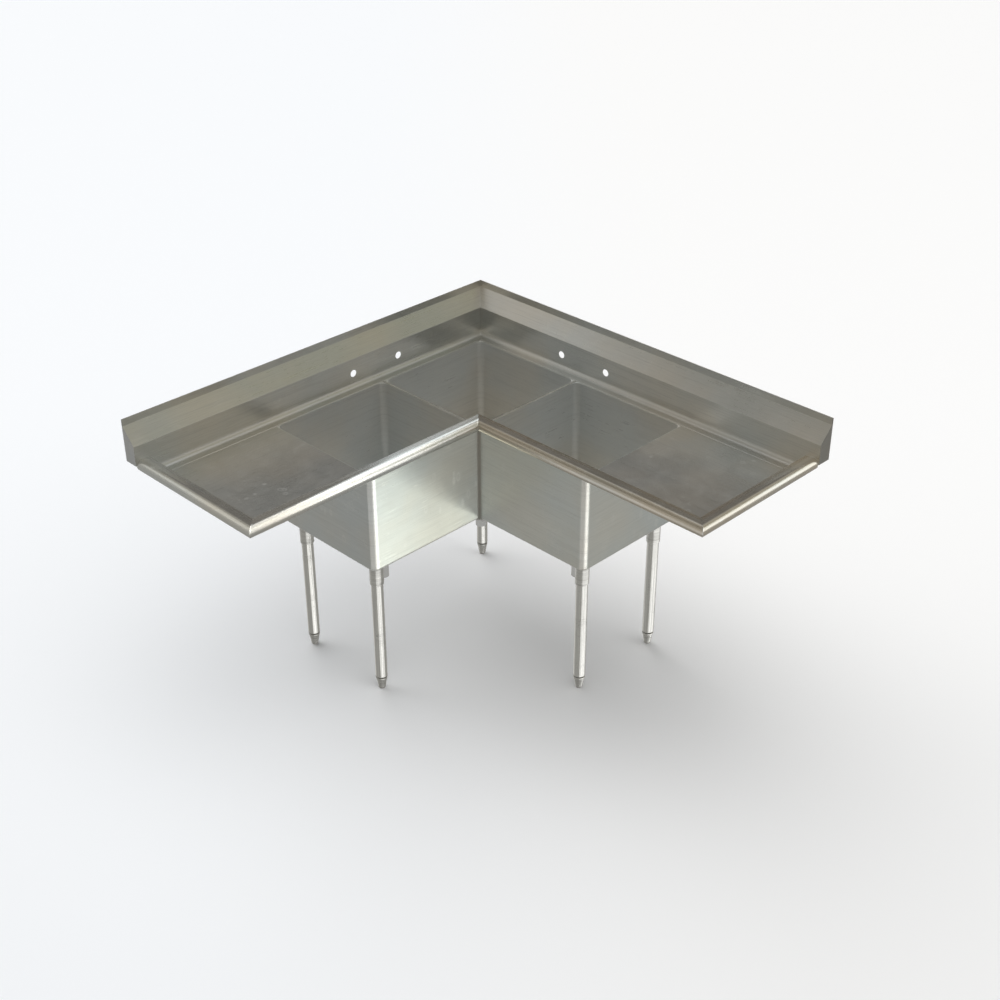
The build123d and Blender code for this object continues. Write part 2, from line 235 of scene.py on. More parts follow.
def steel(name, grain, colour=STEEL, rough=0.30, strength=1.0, seams=(), spots=0.0,
          wear=1.0, inside=None, edges=(), tint=(), ground=1.0, upright=1.0):
    """Brushed stainless sheet. grain: 0, 1, 2 or "bowl". seams: (coordinate, centre,
    half width) of each ground weld. edges: the same for edges that are rubbed bright.
    inside: (cx, cy, half, colour) of a bowl's inner faces, the colour being painted light. tint:
    heat colours, as
    seams. ground: how much the ground welds show. upright: painted light, a factor on the tone of
    upright faces."""
    t = Tree(name)
    if grain == "bowl":
        up = t.remap(t.math("ABSOLUTE", t.xyz(t.normal)[2]), 0.55, 0.8, 0.0, 1.0, True)
        brush = t.lerp(up, grain_of(t, "wall"), grain_of(t, 0))
        cross = stretched(t, 2, 420.0, 12.0, (1.0, 2.0, 3.0))
    else:
        brush = grain_of(t, grain)
        cross = stretched(t, (1, 0, 0)[grain], 420.0, 12.0, (1.0, 2.0, 3.0))
    named = {"x": t.x, "y": t.y, "z": t.z, "s": t.s}
    seam = None
    for c, centre, half in seams:
        m = t.band(named[c], centre, half)
        seam = m if seam is None else t.math("MAXIMUM", seam, m)
    if seam is not None:
        # hand-ground, so its edge wanders a little
        wob = t.noise(t.mapping((60, 60, 60)), 1.0, 2.0)
        seam = t.mul(seam, t.remap(wob, 0.32, 0.5, 0.7, 1.0, True), ground)
        brush = t.lerp(t.mul(seam, 0.8), brush, cross)
    cloud = t.noise(t.mapping((1, 1, 1), loc=(5.0, 2.0, 1.0)), 2.6, 3.0, 0.5)
    smear = t.noise(t.mapping((1, 1, 1), loc=(8.0, 4.0, 3.0)), 11.0, 5.0, 0.62, 0.7)
    pits = t.noise(t.mapping((1, 1, 1), loc=(1.0, 9.0, 6.0)), 240.0, 2.0, 0.6)
    # thin straight hairlines left by use
    scr = None
    for k, (ang, sc) in enumerate(((0.35, 38.0), (1.25, 30.0), (-0.7, 44.0))):
        m = t.mapping((sc, sc * 0.03, sc), loc=(k * 3.7, k * 1.3, k * 5.1),
                      rot=(ang * 0.4, ang * 0.3, ang))
        e = t.remap(t.voronoi(m, 1.0, "DISTANCE_TO_EDGE"), 0.0, 0.02, 1.0, 0.0)
        scr = e if scr is None else t.math("MAXIMUM", scr, e)
    hair = t.mul(scr, t.remap(smear, 0.53, 0.66, 0.0, 1.0, True))

    base_tone = colour
    # painted light: the inner faces of a bowl take the lighter colour given with inside
    if inside is not None:
        cx, cy, half, c_in_painted_light = inside
        dx = t.math("ABSOLUTE", t.math("SUBTRACT", t.x, cx))
        dy = t.math("ABSOLUTE", t.math("SUBTRACT", t.y, cy))
        inn = t.mul(t.math("LESS_THAN", t.math("MAXIMUM", dx, dy), half),
                    t.math("GREATER_THAN", t.z, (Z_FLOOR - 0.8) / 1000))
        base_tone = t.mix(inn, colour, c_in_painted_light)
    # painted light: upright faces take a lighter or darker tone than level ones
    if upright != 1.0:
        up = t.remap(t.math("ABSOLUTE", t.xyz(t.normal)[2]), 0.2, 0.5, 1.0, 0.0, True)
        base_tone = t.mix(up, base_tone, tone(colour, upright))
    drift = t.mix(t.remap(cloud, 0.34, 0.66, 0.0, 1.0, True), (0.97, 1.0, 1.02),
                  (1.035, 1.004, 0.955))
    base = t.mix(1.0, base_tone, drift, "MULTIPLY")
    dark = t.remap(brush, 0.36, 0.52, 0.30 * strength, 0.0, True)
    base = t.mix(dark, base, tone(STEEL, 0.62))
    light = t.remap(brush, 0.52, 0.66, 0.0, 0.22 * strength, True)
    base = t.mix(light, base, tone(STEEL, 1.28))
    base = t.mix(t.mul(t.remap(pits, 0.64, 0.74, 0.0, 1.0, True), 0.30 * wear), base,
                 tone(STEEL, 0.5))
    base = t.mix(t.mul(hair, 0.45 * wear), base, tone(STEEL, 1.3))
    for c, centre, half in tint:
        m = t.band(named[c], centre, half)
        base = t.mix(t.mul(m, 0.5), base, (0.56, 0.47, 0.33))
        base = t.mix(t.mul(t.band(named[c], centre, half * 0.5), 0.35), base,
                     (0.36, 0.38, 0.50))

    r = t.remap(brush, 0.36, 0.64, rough + 0.075 * strength, rough - 0.055 * strength)
    r = t.add(r, t.remap(cloud, 0.3, 0.7, -0.025, 0.03),
              t.remap(smear, 0.42, 0.7, 0.0, 0.05 * wear))
    r = t.math("SUBTRACT", r, t.mul(hair, 0.07 * wear))
    if seam is not None:
        base = t.mix(t.mul(seam, 0.35), base, tone(STEEL, 1.12))
        r = t.math("SUBTRACT", r, t.mul(seam, 0.055))
    for c, centre, half in edges:
        m = t.mul(t.band(named[c], centre, half), t.remap(smear, 0.35, 0.55, 0.5, 1.0))
        base = t.mix(t.mul(m, 0.5), base, tone(STEEL, 1.35))
        r = t.math("SUBTRACT", r, t.mul(m, 0.07))
    height = brush
    if spots:
        # dried drops: a faint chalky ring with a clearer middle
        v = t.voronoi(t.mapping((1, 1, 0.5), loc=(2.0, 6.0, 4.0)), 26.0)
        ring = t.mul(t.remap(v, 0.10, 0.17, 0.0, 1.0, True),
                     t.remap(v, 0.19, 0.26, 1.0, 0.0, True))
        gate = t.remap(t.noise(t.mapping((1, 1, 1), loc=(4.0, 1.0, 7.0)), 5.0, 2.0),
                       0.50, 0.60, 0.0, 1.0, True)
        ring = t.mul(ring, gate, spots)
        base = t.mix(t.mul(ring, 0.30), base, (0.74, 0.74, 0.72))
        r = t.add(r, t.mul(ring, 0.10))
    t.link(base, t.bsdf.inputs["Base Color"])
    t.link(t.math("MAXIMUM", r, 0.06), t.bsdf.inputs["Roughness"])
    n = t.bump(height, 0.16 * strength, 0.0005)
    n = t.bump(t.remap(cloud, 0.3, 0.7, 0.0, 1.0), 0.05, 0.004, n)
    if seam is not None:
        n = t.bump(seam, 0.22, 0.0006, n)
    t.link(n, t.bsdf.inputs["Normal"])
    t.bsdf.inputs["Metallic"].default_value = 1.0
    if inside is not None:
        # the satin of the inner faces scatters part of the light
        t.link(t.remap(inn, 0.0, 1.0, 1.0, INSIDE_METAL), t.bsdf.inputs["Metallic"])
    return t.mat


def turned_steel(name, colour=STEEL, rough=0.26, pitch=900.0, thread=None, tint=(), foot=False):
    """Steel turned on a lathe about an upright axis: rings, with a thread above
    the height given."""
    t = Tree(name)
    rings = t.noise(t.mapping((6, 6, pitch)), 1.0, 2.0, 0.6)
    wide = t.noise(t.mapping((4, 4, 170.0), loc=(3, 2, 1)), 1.0, 2.0, 0.5)
    spot = t.noise(t.mapping((1, 1, 1), loc=(4, 5, 6)), 46.0, 4.0, 0.6)
    body = t.add(t.mul(rings, 0.55), t.mul(wide, 0.45))
    base = t.mix(t.remap(body, 0.38, 0.62, 0.0, 1.0), tone(colour, 0.78), tone(colour, 1.12))
    base = t.mix(t.remap(spot, 0.56, 0.72, 0.0, 0.5, True), base, tone(colour, 0.66))
    r = t.add(t.remap(body, 0.36, 0.64, rough + 0.08, rough - 0.04),
              t.remap(spot, 0.5, 0.7, 0.0, 0.10))
    for centre, half in tint:
        m = t.band(t.z, centre, half)
        base = t.mix(t.mul(m, 0.55), base, (0.55, 0.45, 0.31))
        base = t.mix(t.mul(t.band(t.z, centre, half * 0.45), 0.45), base, (0.33, 0.35, 0.46))
        r = t.add(r, t.mul(m, 0.07))
    if foot:
        # scuffed where it meets the floor
        low = t.remap(t.z, 0.0, 0.012, 1.0, 0.0, True)
        scuff = t.mul(low, t.remap(spot, 0.4, 0.6, 0.2, 1.0, True))
        base = t.mix(t.mul(scuff, 0.6), base, (0.34, 0.33, 0.31))
        r = t.add(r, t.mul(scuff, 0.18))
    n = t.bump(body, 0.20, 0.0004)
    if thread is not None:
        on = t.math("GREATER_THAN", t.z, thread[0])
        wave = t.math("SINE", t.mul(t.z, 2 * math.pi / thread[1]))
        n = t.bump(t.mul(wave, on), 0.9, 0.0005, n)
        base = t.mix(t.mul(on, t.remap(wave, -1.0, 0.2, 0.75, 0.0)), base, (0.16, 0.155, 0.15))
    t.link(base, t.bsdf.inputs["Base Color"])
    t.link(r, t.bsdf.inputs["Roughness"])
    t.link(n, t.bsdf.inputs["Normal"])
    t.bsdf.inputs["Metallic"].default_value = 1.0
    return t.mat


def tube_steel(name):
    """Drawn and polished tube: long upright lines, a few level scuffs."""
    t = Tree(name)
    a = stretched(t, 2, 900.0, 9.0)
    b = stretched(t, 2, 260.0, 2.4, (2, 3, 4))
    lines = t.add(t.mul(a, 0.5), t.mul(b, 0.5))
    scuff = t.noise(t.mapping((20, 20, 420.0), loc=(5, 1, 2)), 1.0, 3.0, 0.6)
    patch = t.noise(t.mapping((1, 1, 1), loc=(2, 8, 3)), 16.0, 4.0, 0.6)
    gate = t.remap(patch, 0.54, 0.66, 0.0, 1.0, True)
    base = t.mix(t.remap(lines, 0.38, 0.62, 0.0, 1.0), tone(STEEL, 0.88), tone(STEEL, 1.14))
    base = t.mix(t.mul(gate, t.remap(scuff, 0.48, 0.62, 0.0, 0.6)), base, tone(STEEL, 0.72))
    r = t.add(t.remap(lines, 0.36, 0.64, 0.235, 0.155), t.mul(gate, 0.07))
    t.link(base, t.bsdf.inputs["Base Color"])
    t.link(r, t.bsdf.inputs["Roughness"])
    n = t.bump(lines, 0.14, 0.0004)
    n = t.bump(t.mul(gate, scuff), 0.12, 0.0004, n)
    t.link(n, t.bsdf.inputs["Normal"])
    t.bsdf.inputs["Metallic"].default_value = 1.0
    return t.mat


def galvanised(name):
    """Zinc coat with its crystal pattern."""
    t = Tree(name)
    warp = t.noise(t.mapping((1, 1, 1)), 60.0, 2.0)
    v = t.t.nodes.new("ShaderNodeTexVoronoi")
    v.inputs["Scale"].default_value = 95.0
    add = t.t.nodes.new("ShaderNodeVectorMath")
    add.operation = "ADD"
    t.link(t.coord, add.inputs[0])
    comb = t.t.nodes.new("ShaderNodeCombineXYZ")
    for i in range(3):
        t.link(t.mul(warp, 0.006), comb.inputs[i])
    t.link(comb.outputs[0], add.inputs[1])
    t.link(add.outputs[0], v.inputs["Vector"])
    cell = t.xyz(v.outputs["Color"])[0]
    fern = t.noise(t.mapping((1, 1, 1), loc=(1, 2, 3)), 420.0, 3.0, 0.7)
    cloud = t.noise(t.mapping((1, 1, 1), loc=(7, 2, 5)), 9.0, 4.0)
    base = t.mix(cell, (0.40, 0.415, 0.43), (0.60, 0.61, 0.62))
    base = t.mix(t.remap(fern, 0.45, 0.65, 0.0, 0.35), base, (0.34, 0.35, 0.36))
    base = t.mix(t.remap(cloud, 0.52, 0.7, 0.0, 0.45, True), base, (0.66, 0.66, 0.64))
    t.link(base, t.bsdf.inputs["Base Color"])
    t.link(t.add(t.remap(cell, 0.0, 1.0, 0.34, 0.52), t.remap(cloud, 0.4, 0.7, 0.0, 0.12)),
           t.bsdf.inputs["Roughness"])
    n = t.bump(t.add(t.mul(cell, 0.4), t.mul(fern, 0.6)), 0.14, 0.0005)
    t.link(n, t.bsdf.inputs["Normal"])
    t.bsdf.inputs["Metallic"].default_value = 0.85
    return t.mat


def plated(name, colour=(0.74, 0.745, 0.755), rough=0.09):
    """Chrome plate with water marks and fine rubbing."""
    t = Tree(name)
    rub = t.noise(t.mapping((40, 40, 520.0)), 1.0, 2.0)
    mark = t.noise(t.mapping((1, 1, 1), loc=(3, 1, 8)), 42.0, 5.0, 0.65, 0.5)
    dust = t.noise(t.mapping((1, 1, 1), loc=(9, 1, 4)), 310.0, 2.0)
    base = t.mix(t.remap(mark, 0.50, 0.66, 0.0, 0.45, True), colour, tone(colour, 0.8))
    base = t.mix(t.remap(dust, 0.60, 0.72, 0.0, 0.3), base, (0.60, 0.58, 0.54))
    t.link(base, t.bsdf.inputs["Base Color"])
    t.link(t.add(t.remap(rub, 0.35, 0.65, rough - 0.03, rough + 0.05),
                 t.remap(mark, 0.48, 0.68, 0.0, 0.16, True)), t.bsdf.inputs["Roughness"])
    t.link(t.bump(t.add(t.mul(rub, 0.6), t.mul(mark, 0.4)), 0.06, 0.0005),
           t.bsdf.inputs["Normal"])
    t.bsdf.inputs["Metallic"].default_value = 1.0
    return t.mat


def cast_brass(name):
    t = Tree(name)
    sand = t.noise(t.mapping((1, 1, 1)), 620.0, 3.0, 0.65)
    tarn = t.noise(t.mapping((1, 1, 1), loc=(2, 5, 1)), 36.0, 5.0, 0.62, 0.4)
    rings = t.noise(t.mapping((5, 5, 700.0)), 1.0, 2.0)
    base = t.mix(t.remap(tarn, 0.38, 0.62, 0.0, 1.0, True), (0.66, 0.49, 0.24), (0.46, 0.33, 0.17))
    base = t.mix(t.remap(sand, 0.50, 0.68, 0.0, 0.5), base, (0.34, 0.25, 0.14))
    base = t.mix(t.remap(tarn, 0.62, 0.74, 0.0, 0.5, True), base, (0.22, 0.28, 0.20))
    t.link(base, t.bsdf.inputs["Base Color"])
    t.link(t.add(t.remap(sand, 0.3, 0.7, 0.30, 0.46), t.remap(tarn, 0.4, 0.7, 0.0, 0.16)),
           t.bsdf.inputs["Roughness"])
    t.link(t.bump(t.add(t.mul(sand, 0.7), t.mul(rings, 0.3)), 0.32, 0.0006),
           t.bsdf.inputs["Normal"])
    t.bsdf.inputs["Metallic"].default_value = 1.0
    return t.mat


def rubber(name):
    t = Tree(name)
    fine = t.noise(t.mapping((1, 1, 1)), 900.0, 3.0, 0.6)
    bloom = t.noise(t.mapping((1, 1, 1), loc=(1, 4, 2)), 60.0, 4.0, 0.6)
    base = t.mix(t.remap(bloom, 0.42, 0.68, 0.0, 1.0, True), (0.022, 0.022, 0.023),
                 (0.075, 0.073, 0.070))
    base = t.mix(t.remap(fine, 0.6, 0.75, 0.0, 0.4), base, (0.12, 0.118, 0.11))
    t.link(base, t.bsdf.inputs["Base Color"])
    t.link(t.add(t.remap(fine, 0.3, 0.7, 0.52, 0.68), t.remap(bloom, 0.4, 0.7, 0.0, 0.12)),
           t.bsdf.inputs["Roughness"])
    t.link(t.bump(fine, 0.25, 0.0005), t.bsdf.inputs["Normal"])
    return t.mat


def weld_steel(name):
    """A bead as it cools: straw and blue between bright ripples."""
    t = Tree(name)
    rip = t.noise(t.mapping((1, 1, 1)), 520.0, 3.0, 0.6)
    heat = t.noise(t.mapping((1, 1, 1), loc=(3, 3, 1)), 70.0, 3.0, 0.6)
    base = t.mix(t.remap(heat, 0.36, 0.64, 0.0, 1.0, True), (0.62, 0.55, 0.42),
                 (0.40, 0.42, 0.50))
    base = t.mix(t.remap(rip, 0.42, 0.64, 0.0, 0.7), base, (0.68, 0.67, 0.65))
    t.link(base, t.bsdf.inputs["Base Color"])
    t.link(t.remap(rip, 0.3, 0.7, 0.44, 0.24), t.bsdf.inputs["Roughness"])
    t.link(t.bump(rip, 0.3, 0.0005), t.bsdf.inputs["Normal"])
    t.bsdf.inputs["Metallic"].default_value = 1.0
    return t.mat


def wing(side, spec):
    """A list of (coordinate, centre, half) for the right wing, turned for the left:
    the mirror swaps X with -Y."""
    if side == "right":
        return [(c, v, h) for c, v, h in spec]
    swap = {"x": ("y", -1), "y": ("x", -1), "s": ("s", -1), "z": ("z", 1)}
    return [(swap[c][0], v * swap[c][1], h) for c, v, h in spec]


def mm_a(a):
    return a / 1000 - H


def mm_b(b):
    return H - b / 1000


def paint(node, *mats):
    o = NODES[node]
    o.data.materials.clear()
    for m in mats:
        o.data.materials.append(m)


INSIDE_METAL = 0.64
# Painted light: one steel is given lit and shaded copies per piece and side. The right rim is
# tinted brown as a painted reflection. The outer faces of the side bowls are painted lighter on
# the right and darker on the left. Both end caps are painted shade, the right one at about half
# the steel's tone. The bowls' inner faces are painted lighter. splash, board, left_rim and
# corner_out are the plain steel.
TONES_WITH_PAINTED_LIGHT = {
    "splash": (STEEL, 0.31), "board": (STEEL, 0.31), "left_rim": (STEEL, 0.26),
    "right_rim": (tone(STEEL, (0.96, 0.885, 0.79)), 0.24), "inside": tone(STEEL, 1.18),
    "left_out": tone(STEEL, (0.91, 0.935, 0.96)), "right_out": tone(STEEL, (1.04, 1.08, 1.10)),
    "corner_out": STEEL,
    "right_cap": tone(STEEL, 0.52), "left_cap": tone(STEEL, (0.86, 0.87, 0.92)),
}


def dress():
    for side in ("right", "left"):
        g = 0 if side == "right" else 1
        c, r = TONES_WITH_PAINTED_LIGHT["splash"]
        # painted light: the upright faces of the backsplashes are lightened, more on the right
        # than on the left
        paint(side + "_backsplash", steel(
            side + "_splash_steel", g, c, r, 1.0,
            seams=wing(side, [("s", 0.0, 0.006)]),
            edges=[("z", 1.099, 0.0018)], wear=0.8, ground=0.5,
            upright=1.12 if side == "right" else 1.05))
        # painted shade: each end cap takes its darker per-side tone, the right one at about half
        # the steel's tone
        paint(side + "_splash_end_cap", steel(
            side + "_cap_steel", 1 - g, TONES_WITH_PAINTED_LIGHT[side + "_cap"], 0.33, 0.9,
            seams=wing(side, [("y", mm_b(51), 0.0025), ("z", 0.9552, 0.002)]), wear=0.7))
        # painted reflection: the right rims take a brown-tinted tone, the left rims the plain
        # steel
        c, r = TONES_WITH_PAINTED_LIGHT[side + "_rim"]
        paint(side + "_front_rim", steel(
            side + "_rim_steel", g, c, r, 0.75,
            seams=wing(side, [("s", 0.0, 0.005), ("s", MITRE, 0.005), ("y", mm_b(B1), 0.005)]),
            edges=[("z", 0.9735, 0.0026)], wear=1.2))
        paint(side + "_end_rim", steel(
            side + "_end_rim_steel", 1 - g, c, r, 0.75,
            seams=wing(side, [("s", MITRE, 0.005), ("y", mm_b(51), 0.005),
                              ("x", mm_a(EDGE), 0.005)]),
            edges=[("z", 0.9735, 0.0026)], wear=1.2))
        c, r = TONES_WITH_PAINTED_LIGHT["board"]
        paint(side + "_drainboard", steel(
            side + "_board_steel", g, c, r, 1.0,
            seams=wing(side, [("x", mm_a(S1), 0.011), ("x", mm_a(EDGE), 0.009),
                              ("y", mm_b(B1), 0.009)]),
            spots=1.0, wear=1.3, ground=0.25))
        bx, by = (mm_a(SM), mm_b(CM)) if side == "right" else (mm_a(CM), mm_b(SM))
        # painted light: the outer faces take per-side tones and the inner faces a lighter one
        paint(side + "_bowl", steel(
            side + "_bowl_steel", "bowl", TONES_WITH_PAINTED_LIGHT[side + "_out"], 0.32, 0.8,
            seams=[("z", ZB / 1000, 0.006)], spots=1.0, ground=0.25,
            inside=(bx, by, 0.2292, TONES_WITH_PAINTED_LIGHT["inside"])))
        # painted shade: the partition cap is the sheet steel at 0.9 of its tone, darker so it
        # merges with the bowls' dark walls
        paint(side + "_partition_cap", steel(
            side + "_partition_steel", 1 - g, tone(STEEL, 0.9), 0.30, 0.7,
            seams=wing(side, [("y", mm_b(B0), 0.006), ("y", mm_b(B1), 0.006)]),
            edges=[("z", 0.9189, 0.0008)], wear=0.9, ground=0.25))
        paint(side + "_drainboard_channel", GALV)
        paint(side + "_leg_channel", GALV)
    # painted light: the inner faces take a lighter tone than the outer faces
    paint("corner_bowl", steel(
        "corner_bowl_steel", "bowl", TONES_WITH_PAINTED_LIGHT["corner_out"], 0.32, 0.8,
        seams=[("z", ZB / 1000, 0.006)], spots=1.0, ground=0.25,
        inside=(mm_a(CM), mm_b(CM), 0.2292, TONES_WITH_PAINTED_LIGHT["inside"])))
    paint("corner_leg_channel", GALV)
    tube, sock, foot = tube_steel("leg_tube_steel"), turned_steel(
        "socket_steel", tone(STEEL, 0.98), 0.29, 520.0,
        tint=[(Z_PLATE / 1000, 0.009)]), turned_steel(
        "foot_steel", tone(STEEL, 0.95), 0.25, 900.0, thread=(0.0485, 0.002), foot=True)
    for leg in LEGS:
        paint(leg + "_leg", tube)
        paint(leg + "_leg_socket", sock)
        paint(leg + "_foot", foot)
    paint("leg_inserts", turned_steel("insert_steel", tone(STEEL, 0.8), 0.34, 700.0))
    paint("leg_set_screws", turned_steel("screw_steel", (0.30, 0.30, 0.31), 0.36, 700.0))
    chrome, drain = plated("drain_chrome"), turned_steel(
        "drain_steel", tone(STEEL, 1.08), 0.18, 620.0)
    brass, rub = cast_brass("locknut_brass"), rubber("drain_rubber")
    for n in ("corner", "right", "left"):
        paint(n + "_drain_body", drain)
        paint(n + "_basket_cup", drain)
        paint(n + "_basket_knob", chrome)
        paint(n + "_tailpiece", chrome)
        paint(n + "_basket_stopper", rub)
    paint("drain_gaskets", rub)
    paint("drain_locknuts", brass)
    paint("drain_slip_nuts", chrome)


GALV = galvanised("channel_zinc")
WELD = weld_steel("weld_bead")
dress()


# ---- weld beads ----------------------------------------------------------------------
def bead(bm, pts, r, closed=False, pitch=0.0024, sides=8):
    """Rippled bead along pts, which are evenly stepped."""
    n = len(pts)
    rings = []
    run = 0.0
    for i, p in enumerate(pts):
        if closed:
            d = pts[(i + 1) % n] - pts[i - 1]
        else:
            d = pts[min(i + 1, n - 1)] - pts[max(i - 1, 0)]
        d.normalize()
        side = d.cross(Vector((0, 0, 1)))
        side.normalize()
        up = side.cross(d)
        if i:
            run += (p - pts[i - 1]).length
        k = 1.0 + 0.16 * math.sin(2 * math.pi * run / pitch)
        if not closed:
            e = min(i, n - 1 - i) / 3.0
            k *= math.sqrt(min(1.0, 0.12 + e))
        ring = []
        for j in range(sides):
            t = 2 * math.pi * j / sides
            ring.append(bm.verts.new(p + (side * math.cos(t) + up * math.sin(t)) * r * k))
        rings.append(ring)
    m = n if closed else n - 1
    for i in range(m):
        q = rings[(i + 1) % n]
        for j in range(sides):
            j2 = (j + 1) % sides
            bm.faces.new((rings[i][j], q[j], q[j2], rings[i][j2]))
    if not closed:
        bm.faces.new(list(reversed(rings[0])))
        bm.faces.new(rings[-1])


def line_pts(p, q, step=0.0006):
    n = max(6, int((q - p).length / step))
    return [p.lerp(q, i / n) for i in range(n + 1)]


def plate_path(a, b, z, half, rad, step=0.7):
    """Outline of a square plate with rounded corners, millimetres."""
    pts = []
    c = half - rad
    for k, (sx, sy) in enumerate(((1, 1), (-1, 1), (-1, -1), (1, -1))):
        for i in range(13):
            t = math.radians(90 * k + 90 * i / 12)
            pts.append((a + sx * c + rad * math.cos(t), b + sy * c + rad * math.sin(t)))
    out = []
    for i in range(len(pts)):
        p, q = pts[i], pts[(i + 1) % len(pts)]
        d = math.hypot(q[0] - p[0], q[1] - p[1])
        m = max(1, int(d / step))
        for j in range(m):
            f = j / m
            out.append(at(p[0] + (q[0] - p[0]) * f, p[1] + (q[1] - p[1]) * f, z))
    return out


def ring_path(a, b, z, r, step=0.7):
    n = int(2 * math.pi * r / step)
    return [at(a + r * math.cos(2 * math.pi * i / n), b + r * math.sin(2 * math.pi * i / n), z)
            for i in range(n)]


def add_piece(name, bm, mat, body="sink_frame"):
    me = bpy.data.meshes.new(name)
    bmesh.ops.recalc_face_normals(bm, faces=bm.faces)
    bm.to_mesh(me)
    bm.free()
    for p in me.polygons:
        p.use_smooth = True
    me.materials.append(mat)
    o = bpy.data.objects.new(name, me)
    bpy.context.scene.collection.objects.link(o)
    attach(o, body)
    return o


def make_welds():
    bm = bmesh.new()
    for a, b in LEGS.values():
        bead(bm, plate_path(a, b, Z_CH - 0.4, 34.2, 8.0), 0.0021, True)
        bead(bm, ring_path(a, b, Z_PLATE - 0.2, 32.6), 0.0017, True)
    add_piece("socket_weld_beads", bm, WELD)
    bm = bmesh.new()
    z = Z_BOT - 1.3
    for k in range(5):
        lo = 118 + k * 90
        if lo + 26 > 505:
            continue
        for m in (925 - 52.4, 925 + 52.4):
            bead(bm, line_pts(at(m, lo, z), at(m, lo + 26, z)), 0.0018)
            bead(bm, line_pts(at(lo, m, z), at(lo + 26, m, z)), 0.0018)
    for k in range(2):
        lo = 116 + k * 90
        bead(bm, line_pts(at(lo, 82 + 52.4, z), at(lo + 26, 82 + 52.4, z)), 0.0018)
    pitch = (ZD - ZB) / (EDGE - S1)
    for k in range(4):
        lo = S1 + 45 + k * 105
        for m in (CM - 50.3, CM + 50.3):
            zz = [ZB + (q - S1) * pitch - T - 1.0 for q in (lo, lo + 24)]
            bead(bm, line_pts(at(lo, m, zz[0]), at(lo + 24, m, zz[1])), 0.0016)
            bead(bm, line_pts(at(m, lo, zz[0]), at(m, lo + 24, zz[1])), 0.0016)
    add_piece("channel_stitch_welds", bm, WELD)


make_welds()


# ---- floor and light ---------------------------------------------------------------
def make_stage():
    bpy.ops.mesh.primitive_plane_add(size=80, location=(0, 0, -0.0006))
    floor = bpy.context.object
    floor.name = "floor"
    t = Tree("floor_pale")
    # metal mirrors the studio's lower half instead, which is dull like a lab floor
    floor.visible_glossy = False
    # painted shade: the floor's colour is darker towards the front and lighter towards the back,
    # then tinted cooler to the left and warmer to the right
    away = t.mul(t.math("SUBTRACT", t.y, t.x), 0.7071)
    painted_falloff = t.remap(away, -2.6, 2.4, 0.0, 1.0, True)
    floor_with_painted_shade = t.mix(painted_falloff, FLOOR_NEAR_PAINTED_SHADE, FLOOR_FAR)
    side = t.remap(t.mul(t.s, 0.7071), -1.2, 1.2, 0.0, 1.0, True)
    floor_with_painted_shade = t.mix(1.0, floor_with_painted_shade, t.mix(side, FLOOR_LEFT, FLOOR_RIGHT), "MULTIPLY")
    t.link(floor_with_painted_shade, t.bsdf.inputs["Base Color"])
    t.bsdf.inputs["Roughness"].default_value = 0.9
    t.bsdf.inputs["Specular IOR Level"].default_value = 0.1
    floor.data.materials.append(t.mat)


# painted shade: the floor nearer the front is darker than the far floor
FLOOR_NEAR_PAINTED_SHADE = (0.92, 0.92, 0.92)
FLOOR_FAR = (1.0, 1.0, 1.0)
FLOOR_LEFT = (0.985, 0.998, 1.012)
FLOOR_RIGHT = (1.006, 1.0, 0.988)

# What metal sees by height (sine of the angle over the horizon).
MIRROR_SKY = [(-1.0, (0.34, 0.335, 0.32)), (-0.75, (0.40, 0.395, 0.375)),
              (-0.45, (0.47, 0.465, 0.44)), (-0.1, (0.46, 0.45, 0.42)),
              (0.05, (0.46, 0.44, 0.39)), (0.30, (0.44, 0.41, 0.35)),
              (0.52, (0.44, 0.42, 0.38)), (0.64, (0.44, 0.41, 0.33)),
              (0.82, (0.46, 0.45, 0.42)), (0.93, (0.75, 0.75, 0.74)),
              (1.0, (1.25, 1.25, 1.25))]
# Softer or brighter patches of it: direction, cosines where they start and end, colour.
PATCHES = [((-0.607, 0.607, 0.512), 0.80, 0.99, (0.164, 0.155, 0.141)),
           ((-0.61, -0.50, 0.62), 0.75, 0.98, (0.248, 0.234, 0.198)),
           ((0.51, 0.61, 0.61), 0.92, 0.99, (0.36, 0.35, 0.255)),
           ((0.75, 0.61, 0.22), 0.94, 0.99, (0.62, 0.60, 0.57)),
           ((-0.61, -0.75, 0.22), 0.94, 0.99, (0.54, 0.53, 0.50))]
# What lights the floor, and the satin of the bowls: the same ramp, then soft panels.
SKY = [(-1.0, (0.45, 0.45, 0.45)), (0.0, (0.0, 0.0, 0.0)), (0.4, (0.0, 0.0, 0.0)),
       (0.6, (0.20, 0.206, 0.213)), (0.8, (0.20, 0.206, 0.213)), (1.0, (0.55, 0.56, 0.572))]
PANELS = [((0.574, 0.0, 0.819), 0.7, 0.98, (0.93, 0.93, 0.925)),
          ((-0.866, 0.0, 0.5), 0.7, 0.98, (1.38, 1.38, 1.38)),
          ((-0.574, 0.0, 0.819), 0.7, 0.98, (0.32, 0.32, 0.32)),
          ((-0.406, -0.406, 0.819), 0.7, 0.98, (0.16, 0.16, 0.16)),
          ((0.062, -0.062, 0.996), 0.7, 0.98, (0.74, 0.74, 0.745))]


